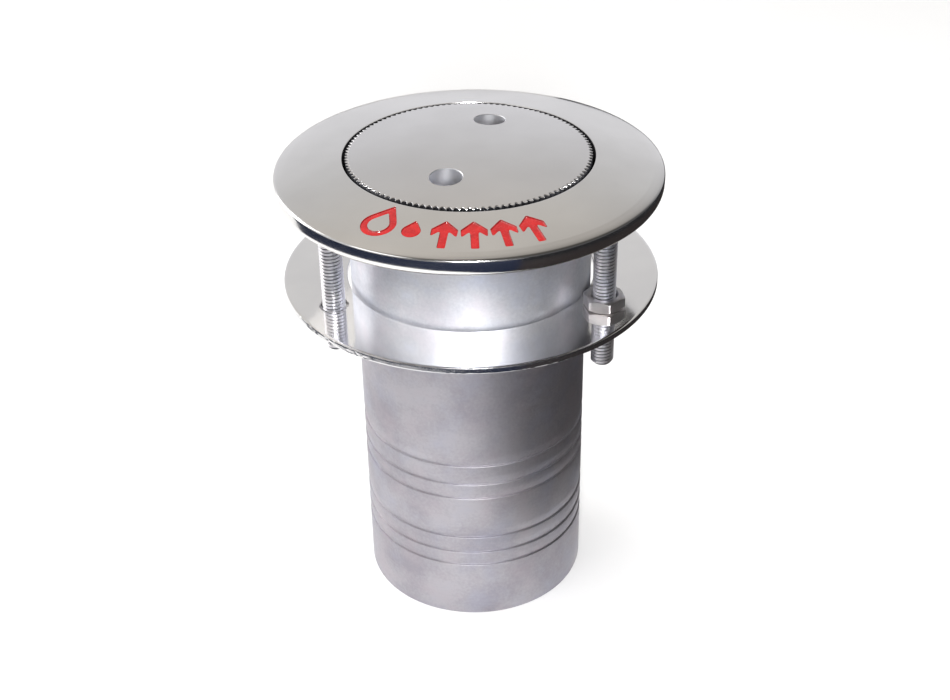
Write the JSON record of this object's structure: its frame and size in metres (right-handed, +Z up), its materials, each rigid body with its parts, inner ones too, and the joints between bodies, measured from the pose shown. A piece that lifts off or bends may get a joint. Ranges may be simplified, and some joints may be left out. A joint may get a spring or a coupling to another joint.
{
  "type": "deck fill cap",
  "caption": "Flush screw cap in a domed deck flange with a barbed hose tail, clamp studs and a sliding backing plate.",
  "frame": {"origin": "centre of the hose tail's lower end, on which the part stands", "axes": "+Z up along the cap's and the tail's common axis; -Y is the side with the red marks, +X is the side of the stud that has a nut on top of the plate"},
  "size_m": [0.083, 0.083, 0.1085],
  "materials": {
    "polished_steel": "polished stainless steel, fine buffing marks",
    "satin_steel": "satin stainless tube, turned and lightly blasted",
    "fastener_steel": "bright stainless fasteners",
    "chain_steel": "bright stainless wire and strip",
    "red_enamel": "glossy red enamel",
    "seal_rubber": "matt black nitrile"
  },
  "bodies": {
    "deck_fitting": {"deck_flange": "polished_steel", "hose_tail": "satin_steel", "stud_left": "fastener_steel", "stud_right": "fastener_steel", "stud_rear": "fastener_steel", "enamel_large_droplet": "red_enamel", "enamel_small_droplet": "red_enamel", "enamel_arrow_1": "red_enamel", "enamel_arrow_2": "red_enamel", "enamel_arrow_3": "red_enamel", "enamel_arrow_4": "red_enamel"},
    "cap_retainer": {"swivel_tab": "chain_steel", "chain_link_1": "chain_steel", "chain_link_2": "chain_steel", "chain_link_3": "chain_steel", "chain_link_4": "chain_steel", "chain_link_5": "chain_steel", "toggle_bar": "chain_steel"},
    "cap": {"cap": "polished_steel", "cap_o_ring": "seal_rubber", "swivel_screw": "fastener_steel"},
    "clamp_plate": {"backing_plate": "polished_steel", "washer_left": "fastener_steel", "washer_right": "fastener_steel", "washer_rear": "fastener_steel"},
    "lower_nut_left": {"lower_nut_left": "fastener_steel"},
    "lower_nut_right": {"lower_nut_right": "fastener_steel"},
    "lower_nut_rear": {"lower_nut_rear": "fastener_steel"},
    "upper_nut_right": {"upper_nut_right": "fastener_steel"}
  },
  "joints": [
    {"name": "retainer_lift", "type": "slide", "parent": "deck_fitting", "child": "cap_retainer", "axis": [0, 0, 1], "range_m": [0, 0.0135]},
    {"name": "cap_turn", "type": "hinge", "parent": "cap_retainer", "child": "cap", "pos_m": [0, 0, 0.1055], "axis": [0, 0, 1], "range_deg": [0, 1620]},
    {"name": "plate_slide", "type": "slide", "parent": "deck_fitting", "child": "clamp_plate", "axis": [0, 0, 1], "range_m": [-0.0046, 0.0166]},
    {"name": "lower_nut_rear_turn", "type": "hinge", "parent": "clamp_plate", "child": "lower_nut_rear", "pos_m": [0.00115, 0.03298, 0.07495], "axis": [0, 0, 1], "range_deg": [-2070, 7470]},
    {"name": "lower_nut_left_turn", "type": "hinge", "parent": "clamp_plate", "child": "lower_nut_left", "pos_m": [-0.02914, -0.01549, 0.07495], "axis": [0, 0, 1], "range_deg": [-2070, 7470]},
    {"name": "lower_nut_right_turn", "type": "hinge", "parent": "clamp_plate", "child": "lower_nut_right", "pos_m": [0.02799, -0.01749, 0.07495], "axis": [0, 0, 1], "range_deg": [-2070, 7470]},
    {"name": "upper_nut_right_turn", "type": "hinge", "parent": "clamp_plate", "child": "upper_nut_right", "pos_m": [0.02799, -0.01749, 0.08035], "axis": [0, 0, 1], "range_deg": [-2070, 7470]}
  ],
  "couplings": [
    {"joint": "retainer_lift", "follows": "cap_turn", "m_per_rad": 0.00047746},
    {"joint": "lower_nut_rear_turn", "follows": "plate_slide", "rad_per_m": 7854},
    {"joint": "lower_nut_left_turn", "follows": "plate_slide", "rad_per_m": 7854},
    {"joint": "lower_nut_right_turn", "follows": "plate_slide", "rad_per_m": 7854},
    {"joint": "upper_nut_right_turn", "follows": "plate_slide", "rad_per_m": 7854}
  ]
}
